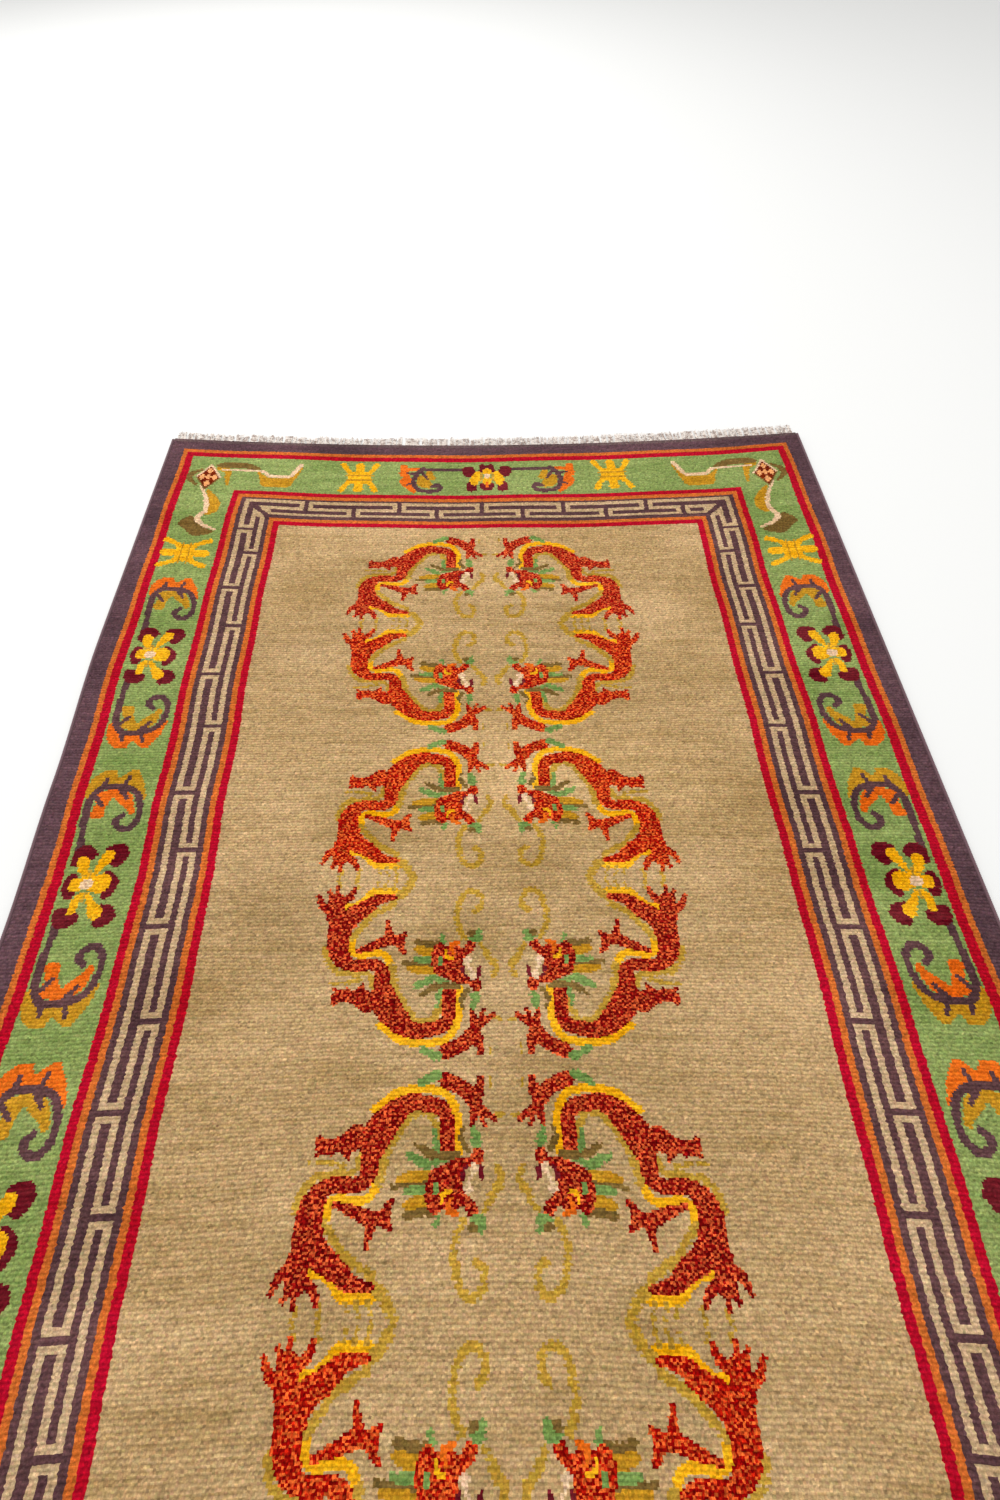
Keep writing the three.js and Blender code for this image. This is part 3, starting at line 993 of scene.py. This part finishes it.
def beyond(place, deep):
    """The same places, but past the map's edge for deep points at the two ends of the run."""
    place = np.where(deep & (place < AT_EDGE), -1, place)
    return np.where(deep & (place > 1 - AT_EDGE), 2, place)


# %% The knot that a face lies in
def face_middles(piece):
    """The middle of each face, as rows."""
    middles = np.empty(len(piece.data.polygons) * 3)
    piece.data.polygons.foreach_get("center", middles)
    return middles.reshape(-1, 3)


def knot_at(place, knots):
    """Which of a row of knots a place lies in, where the row runs from 0 to 1."""
    return np.clip((place * knots).astype(int), 0, knots - 1)


# %% One strip of pile
CLEAR_OF_GROUND = 0.05


def pile_strip(number, first, last):
    """The pile of the columns from first up to last."""
    strip = knot_block(last - first, ROWS)
    points = points_of(strip)
    deep = points[:, 2] < -0.5
    across = points[:, 0] + 0.5
    along = points[:, 1] + 0.5
    column = np.round(across * (last - first)).astype(int) + first
    row = np.round(along * ROWS).astype(int)
    middles = face_middles(strip)
    on_top = middles[:, 2] > -0.1
    face_column = knot_at(middles[:, 0] + 0.5, last - first) + first
    face_row = knot_at(middles[:, 1] + 0.5, ROWS)

    # The corners' tones paint shade into the grooves and light onto the ridges.
    paint(strip, knot_colour[face_row, face_column], corner_tone_and_shade[row, column])
    is_flecked = strip.data.attributes.new("flecked", "FLOAT", "FACE")
    is_flecked.data.foreach_set("value", lively[face_row, face_column].astype(float))
    spread_map(strip, beyond(across, deep), beyond(along, deep), deep)
    z = np.where(deep, GROUND_TOP + CLEAR_OF_GROUND, height[row, column])
    move_points(strip, lying_x[row, column], lying_y[row, column], z)

    # The knots are shaded smooth, as the whole grid faces. The cut sides and the base stay flat.
    strip.data.polygons.foreach_set("use_smooth", on_top)
    at_corner, of_face = corners_of(strip)
    ways = np.where(on_top[of_face][:, None], facing[row, column][at_corner], 0)
    strip.data.normals_split_custom_set(ways)
    finish_piece(strip, f"pile_strip_{number}", pile_wool, "pile", "rug_body")
    print(strip.name, "has", triangles_of(strip), "triangles")
    return strip


# %% The four strips
STRIP_EDGES = (0, 112, 225, 338, COLUMNS)

pile = [
    pile_strip(number, first, last)
    for number, (first, last) in enumerate(zip(STRIP_EDGES, STRIP_EDGES[1:]), 1)
]

# %% [markdown]
# ## The woven ground
# Under the pile lies the cloth that holds the knots: cotton warps and wefts, beaten so tight that it
# is only 3 mm thick. Its back shows the backs of the knots, so the pattern appears there too, flat
# and a little dulled. It is the rug's sheet of cloth, cut to the size of the whole rug.

# %% Woven cotton
# Blender's wave comes again after 0.314 of its scaled place. With this many knots to one unit of
# that place, it raises every second thread, which is coarse enough to show.
KNOTS_A_UNIT = 6.283

woven_back, tree = new_material("woven cotton ground with knot backs")
dyed = add_node(tree, "ShaderNodeAttribute", {"attribute_name": "wool"})
place = add_node(tree, "ShaderNodeTexCoord")
warps = add_node(tree, "ShaderNodeTexWave", {"bands_direction": "X"}, Vector=(place, "Object"),
                 Scale=1000 / KNOT_WIDTH / KNOTS_A_UNIT, Distortion=0.4)
wefts = add_node(tree, "ShaderNodeTexWave", {"bands_direction": "Y"}, Vector=(place, "Object"),
                 Scale=1000 / KNOT_HEIGHT / KNOTS_A_UNIT, Distortion=0.4)
weave = add_node(tree, "ShaderNodeMath", {"operation": "MULTIPLY"}, [(warps, "Fac"), (wefts, "Fac")])
threads = add_node(tree, "ShaderNodeMapRange", Value=(weave, "Value"), To_Min=0.7, To_Max=1.05)
colour = add_node(tree, "ShaderNodeVectorMath", {"operation": "SCALE"}, Vector=(dyed, "Color"),
                  Scale=(threads, "Result"))
relief = add_node(tree, "ShaderNodeBump", Height=(weave, "Value"), Strength=0.5, Distance=0.0005)
shader = add_node(
    tree, "ShaderNodeBsdfPrincipled", Base_Color=(colour, "Vector"), Normal=(relief, "Normal"),
    Roughness=0.9, IOR=1.53, Sheen_Weight=0.1, Sheen_Roughness=0.5,
)
finish_material(tree, shader)

# %% Woven ground
GROUND_COLUMNS = 130
GROUND_ROWS = 183
INSET = 0.4  # how far the ground's edge lies inside the pile's
COTTON = 0.25  # how much of the back's colour is its cotton's

ground = knot_block(GROUND_COLUMNS, GROUND_ROWS)
middles = face_middles(ground)
knots = knot_colour[knot_at(middles[:, 1] + 0.5, ROWS), knot_at(middles[:, 0] + 0.5, COLUMNS)]
points = points_of(ground)
paint(ground, (1 - COTTON) * knots + COTTON * linear("#d8ccb6"), np.ones(len(points)))
base = points[:, 2] < -0.5
spread_map(ground, points[:, 0] + 0.5, points[:, 1] + 0.5, base)
x, y = lie(points[:, 0] * 2 * (HALF_PILE - INSET), points[:, 1] * 2 * (HALF_LENGTH - INSET))
# The block is turned over, so that its fine grid is the rug's back.
move_points(ground, x, y, np.where(base, GROUND_TOP, 0))
bpy.ops.object.select_all(action="DESELECT")
ground.select_set(True)
bpy.context.view_layer.objects.active = ground
bpy.ops.object.mode_set(mode="EDIT")
face_outwards()
finish_piece(ground, "woven_ground", woven_back, "pile", "rug_body")
print("the woven ground has", triangles_of(ground), "triangles")

# %% [markdown]
# ## Spun yarn
# The wool round the sides and the cotton of the fringes are both spun yarn, matt and a little fuzzy.
# Wool has darker and paler dye lots a hand's breadth long, and the cotton has dark specks a few
# millimetres wide, painted shade between its crimped ends, so one recipe serves both: patches
# between two shades, and fibres over them.


# %% Yarn material
def spun_yarn(name, fibres, shades, patches, patch_edge, fuzz, relief, **surface):
    """A yarn: so many fibres and patches to a metre, and fuzz is the fibres' darkest and palest tone."""
    material, tree = new_material(name)
    place = add_node(tree, "ShaderNodeTexCoord")
    fine = add_node(tree, "ShaderNodeTexNoise", Vector=(place, "Object"), Scale=fibres, Detail=3.0)
    broad = add_node(tree, "ShaderNodeTexNoise", Vector=(place, "Object"), Scale=patches, Detail=2.0)
    paler = add_node(tree, "ShaderNodeMapRange", Value=(broad, "Fac"), From_Min=patch_edge[0],
                     From_Max=patch_edge[1])
    shade = add_node(tree, "ShaderNodeMix", {"data_type": "RGBA"}, Factor=(paler, "Result"),
                     A=(*linear(shades[0]), 1), B=(*linear(shades[1]), 1))
    tone = add_node(tree, "ShaderNodeMapRange", Value=(fine, "Fac"), From_Min=0.3, From_Max=0.7,
                    To_Min=fuzz[0], To_Max=fuzz[1])
    colour = add_node(tree, "ShaderNodeVectorMath", {"operation": "SCALE"}, Vector=(shade, "Result"),
                      Scale=(tone, "Result"))
    bump = add_node(tree, "ShaderNodeBump", Height=(fine, "Fac"), Strength=relief[0], Distance=relief[1])
    shader = add_node(tree, "ShaderNodeBsdfPrincipled", Base_Color=(colour, "Vector"),
                      Normal=(bump, "Normal"), Sheen_Roughness=0.5, **surface)
    finish_material(tree, shader)
    return material


# %% [markdown]
# ## The overcast sides
# Along each side, the last warps make a cord, and plum wool is wound round it, turn beside turn. One
# turn is modelled: a short open tube whose middle ring is pushed out. An array repeats it along the
# cord, its ends are closed, and the points are laid along the rug's edge, slanting a little, as
# wound thread does.

# %% Wound wool
binding_wool = spun_yarn(
    "plum wool overcasting", fibres=1400, shades=("#593e42", "#705058"), patches=9, patch_edge=(0, 1),
    fuzz=(0.75, 1.15), relief=(0.5, 0.0004), Roughness=0.85, IOR=1.55, Sheen_Weight=0.05,
)

# %% One turn, its array, and the cord along the edge
TURN = 2.4
TURNS = round(2 * HALF_LENGTH / TURN)
ROUND = 8
BULGE = 1.16  # of a turn's middle
FLATTENED = 1.1
SLANT = 0.5
CORD_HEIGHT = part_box("side_binding_left")[1].z / MM


def wound_cord(side):
    """The overcast cord of one side: -1 is the left, 1 the right."""
    bpy.ops.object.select_all(action="DESELECT")
    bpy.ops.mesh.primitive_cylinder_add(
        vertices=ROUND, radius=1, depth=1, end_fill_type="NOTHING", rotation=(np.pi / 2, 0, 0))
    cord = bpy.context.object
    bpy.ops.object.transform_apply(location=True, rotation=True, scale=True)
    bpy.ops.object.mode_set(mode="EDIT")
    bpy.ops.mesh.select_all(action="SELECT")
    bpy.ops.mesh.bisect(plane_co=(0, 0, 0), plane_no=(0, 1, 0))
    bpy.ops.transform.resize(value=(BULGE, 1, BULGE))
    bpy.ops.mesh.select_all(action="DESELECT")
    bpy.ops.object.mode_set(mode="OBJECT")
    turns = cord.modifiers.new("turns", "ARRAY")
    turns.count = TURNS
    turns.use_relative_offset = False
    turns.use_constant_offset = True
    turns.constant_offset_displace = (0, 1, 0)
    turns.use_merge_vertices = True
    turns.merge_threshold = 0.01
    bpy.ops.object.modifier_apply(modifier="turns")
    bpy.ops.object.mode_set(mode="EDIT")
    bpy.ops.mesh.select_all(action="DESELECT")
    bpy.ops.mesh.select_non_manifold()
    bpy.ops.mesh.edge_face_add()
    face_outwards()
    points = points_of(cord)
    along = (points[:, 1] + 0.5) * TURN - HALF_LENGTH
    uneven = 0.12 * np.sin(along * 2.1)
    inwards = (BINDING_WIDTH / 2) * (1 + points[:, 0] / BULGE)
    y = np.clip(along + SLANT * points[:, 0] + uneven, -HALF_LENGTH, HALF_LENGTH)
    x, y = lie(side * (HALF_WIDTH - inwards), y)
    z = np.clip(CORD_HEIGHT / 2 * (1 + FLATTENED * points[:, 2] / BULGE), 0, CORD_HEIGHT)
    move_points(cord, x, y, z)
    cord.data.shade_smooth()
    return cord


cords = {}
for side, word in ((-1, "left"), (1, "right")):
    cord = wound_cord(side)
    if side > 0:
        cord.data.flip_normals()
    finish_piece(cord, f"overcast_{word}", binding_wool, "side_binding", f"side_binding_{word}")
    cords[word] = cord
    print(cord.name, "has", TURNS, "turns and", triangles_of(cord), "triangles")

# %% [markdown]
# ## The fringes
# The warps are cotton, left long when the rug is cut from the loom and trimmed by hand. A narrow
# strip of plain weave keeps them in place. From it hang eleven hundred ends, each about a
# millimetre thick, that droop to the floor and lie there in small, uneven locks, still crimped from
# the weave. One end is modelled as a thin three-sided tube with a few rings, and an array repeats
# it. Then each copy gets its own length, bend and place.

# %% Undyed cotton
# The cotton's dark shade, in specks this many millimetres wide, is painted shade between the fringe's ends.
SHADE_SPECK = 6  # millimetres

cotton_yarn = spun_yarn(
    "undyed cotton warp yarn", fibres=900, shades=("#a38d82", "#ebdfd4"), patches=1000 / SHADE_SPECK,
    patch_edge=(0.4, 0.55), fuzz=(0.8, 1.08), relief=(0.4, 0.0003), Roughness=0.9, IOR=1.53,
    Sheen_Weight=0.1,
)

# %% Warp ends
HEADING_WIDTH = 5.0
HEADING_HEIGHT = 3.0
WARP_ENDS = 1100
LOCK = 5  # warp ends that cling together, on average
END_RINGS = 8
END_THICKNESS = 1.1
ROOT_INSET = 1.5  # how far the outermost ends stand from the heading's corners
HELD = 1.0  # how much of an end the heading holds
FRINGE_LEFT = 24.0
FRINGE_RIGHT = 31.0
LENGTH_SPREAD = 3.0
SHORTEST = -7.0  # the most by which an end is cut short
CRIMP = 8.5  # from one bend of a lock to the next
FALL = 7.0  # the length over which an end comes down to the floor
ARCH = 1.2  # how high a lock stands off the floor
GATHER = 0.35  # how far the ends of a lock draw together


def warp_ends(end):
    """All the loose warp ends of one end of the rug, as one mesh: end is 1 for far, -1 for near."""
    bpy.ops.object.select_all(action="DESELECT")
    bpy.ops.mesh.primitive_cylinder_add(vertices=3, radius=0.5, depth=1, rotation=(-np.pi / 2, 0, 0))
    ends = bpy.context.object
    bpy.ops.object.transform_apply(location=True, rotation=True, scale=True)
    bpy.ops.object.mode_set(mode="EDIT")
    for ring in range(1, END_RINGS - 1):
        bpy.ops.mesh.select_all(action="SELECT")
        bpy.ops.mesh.bisect(plane_co=(0, ring / (END_RINGS - 1) - 0.5, 0), plane_no=(0, 1, 0))
    bpy.ops.object.mode_set(mode="OBJECT")
    in_one = len(ends.data.vertices)
    repeat = ends.modifiers.new("repeat", "ARRAY")
    repeat.count = WARP_ENDS
    bpy.ops.object.modifier_apply(modifier="repeat")
    points = points_of(ends)
    number = np.arange(len(points)) // in_one
    own = np.tile(points[:in_one], (WARP_ENDS, 1))
    share = (number + 0.5) / WARP_ENDS
    along = own[:, 1] + 0.5

    # Numbers of an end's own, numbers that the ends of a lock share, and the way to the lock's middle
    single = random.normal(size=(4, WARP_ENDS))[:, number]
    lock = np.cumsum(random.random(WARP_ENDS) < 1 / LOCK)
    shared = random.normal(size=(3, lock[-1] + 1))[:, lock[number]]
    turn = random.uniform(0, 2 * np.pi, (2, lock[-1] + 1))[:, lock[number]]
    middle = (np.bincount(lock, np.arange(WARP_ENDS)) / np.maximum(np.bincount(lock), 1))[lock]
    to_middle = ((middle - np.arange(WARP_ENDS)) * 2 * HALF_PILE / WARP_ENDS)[number]

    length = FRINGE_LEFT + (FRINGE_RIGHT - FRINGE_LEFT) * share
    length += np.clip(LENGTH_SPREAD * (0.5 * single[0] + 0.6 * shared[0]), SHORTEST, LENGTH_SPREAD)
    free = np.clip(along * 4, 0, 1)
    bends = 2 * np.pi * along * length / CRIMP
    gathered = GATHER * to_middle * np.sin(np.pi * np.clip(along * 0.85, 0, 1)) ** 0.8
    sway = (0.9 * single[1] + 1.3 * shared[1]) * along**1.6 + gathered
    sway += free * (1.1 * np.sin(bends + turn[0]) + 0.4 * single[2] * np.sin(0.7 * bends))
    reach = HALF_WIDTH - BINDING_WIDTH - ROOT_INSET
    root_x, root_y = lie(reach * (2 * share - 1), np.full(len(share), end * HALF_LENGTH))
    out = SEAM + HEADING_WIDTH - HELD + along * (length + HELD)

    # Heights: down from the heading, up and down with the crimp, and over the lock's own arch
    thick = END_THICKNESS * (1 - 0.25 * along)
    falling = 0.45 * HEADING_HEIGHT * np.clip(1 - along * length / FALL, 0, 1) ** 2
    crimped = free * (0.9 + 0.35 * np.abs(single[3])) * (1 + np.sin(0.8 * bends + turn[1]))
    arched = ARCH * np.abs(shared[2]) * np.sin(np.pi * np.clip(along * 1.1, 0, 1))
    z = thick / 2 + falling + crimped + arched + own[:, 2] * thick
    move_points(ends, root_x + sway + own[:, 0] * thick, root_y + end * out, np.maximum(z, 0))
    if end < 0:
        ends.data.flip_normals()
    return ends


# %% Heading
HEADING_COLUMNS = 200
HEADING_ROWS = 6
THREAD_RIDGE = 0.35
EDGE_DROP = 0.5


def heading(end):
    """The strip of plain weave beside the pile: a grid whose wefts stand up as low ridges."""
    strip = knot_block(HEADING_COLUMNS, HEADING_ROWS)
    points = points_of(strip)
    base = points[:, 2] < -0.5
    x = points[:, 0] * 2 * (HALF_WIDTH - BINDING_WIDTH)
    out = SEAM + HEADING_WIDTH * (points[:, 1] + 0.5)
    root_x, root_y = lie(x, np.full(len(x), end * HALF_LENGTH))
    column = np.round((points[:, 0] + 0.5) * HEADING_COLUMNS)
    row = np.round((points[:, 1] + 0.5) * HEADING_ROWS)
    lower = THREAD_RIDGE * ((row + column) % 2 == 0) + EDGE_DROP * (row % HEADING_ROWS == 0)
    move_points(strip, root_x, root_y + end * out, np.where(base, 0, HEADING_HEIGHT - lower))
    if end < 0:
        strip.data.flip_normals()
    return strip


# %% The two fringes
fringes = {}
for end, word in ((1, "far"), (-1, "near")):
    ends = warp_ends(end)
    strip = heading(end)
    bpy.ops.object.select_all(action="DESELECT")
    ends.select_set(True)
    strip.select_set(True)
    bpy.context.view_layer.objects.active = ends
    bpy.ops.object.join()
    finish_piece(ends, f"warp_fringe_{word}", cotton_yarn, "fringe", f"fringe_{word}")
    fringes[word] = ends
    print(ends.name, "has", triangles_of(ends), "triangles")

# %% [markdown]
# ## All the pieces
# The woven ground is the rug's one sheet of cloth. The pile, the cords and the fringes are on it.

# %% Their triangles, counted
pieces = [ground, *pile, *cords.values(), *fringes.values()]
print("triangles in all:", sum(triangles_of(piece) for piece in pieces))

# %% [markdown]
# ## Floor, light and camera
# The rug lies on a pale, matt floor. Large soft lamps overhead and a bright surround give the even
# light of a studio, in which colours show and only the pile's grooves are dark. The camera stands
# over the rug's near half and looks down at 57 degrees, with a wide lens.

# %% Floor
FLOOR_DROP = 0.2 * MM  # keeps the floor from showing through the rug's underside

bpy.ops.object.select_all(action="DESELECT")
bpy.ops.mesh.primitive_plane_add(size=40, location=(0, 0, -FLOOR_DROP))
floor = bpy.context.object
floor.name = "floor"
floor_paint, tree = new_material("matt white floor paint")
shader = add_node(tree, "ShaderNodeBsdfPrincipled", Base_Color=(*linear("#dcdcda"), 1), Roughness=0.9)
finish_material(tree, shader)
floor.data.materials.append(floor_paint)

# %% Light
SURROUND = 0.84

surround = bpy.data.worlds.new("bright surround")
surround.use_nodes = True
background = surround.node_tree.nodes["Background"]
background.inputs["Color"].default_value = (1, 1, 1, 1)
background.inputs["Strength"].default_value = SURROUND
bpy.context.scene.world = surround

LAMPS = [
    {"name": "overhead", "place": (-0.5, 0.4, 3.4), "size": 2.8, "power": 56},
    {"name": "far_window", "place": (-1.2, 3.4, 2.2), "size": 1.8, "power": 56},
]
for lamp in LAMPS:
    light = bpy.data.lights.new(lamp["name"], "AREA")
    light.energy = lamp["power"]
    light.size = lamp["size"]
    lit = bpy.data.objects.new(lamp["name"], light)
    bpy.context.scene.collection.objects.link(lit)
    lit.location = lamp["place"]
    aim = -lit.location
    lit.rotation_euler = aim.to_track_quat("-Z", "Y").to_euler()

# The default view softens bright colours, as film does, and turns clear yellow dye to sand. The
# plain one keeps the dyes as they are, as a shop's photograph does.
bpy.context.scene.view_settings.view_transform = "Standard"

# %% Camera
FOCAL_PIXELS = 727
FRAME_HEIGHT = 1500
OFF_CENTRE = 31.7  # pixels by which the lens's axis is left of the frame's middle
CAMERA_PLACE = (-0.0349, -0.3487, 0.8595)
CAMERA_TURN = (32.99, 0.08, -0.12)  # degrees, from looking straight down

camera_data = bpy.data.cameras.new("camera")
camera_data.sensor_width = 36
camera_data.lens = FOCAL_PIXELS / FRAME_HEIGHT * camera_data.sensor_width
camera_data.shift_x = OFF_CENTRE / FRAME_HEIGHT
camera_data.clip_end = 100
camera = bpy.data.objects.new("camera", camera_data)
bpy.context.scene.collection.objects.link(camera)
camera.location = CAMERA_PLACE
camera.rotation_euler = np.radians(CAMERA_TURN)
bpy.context.scene.camera = camera
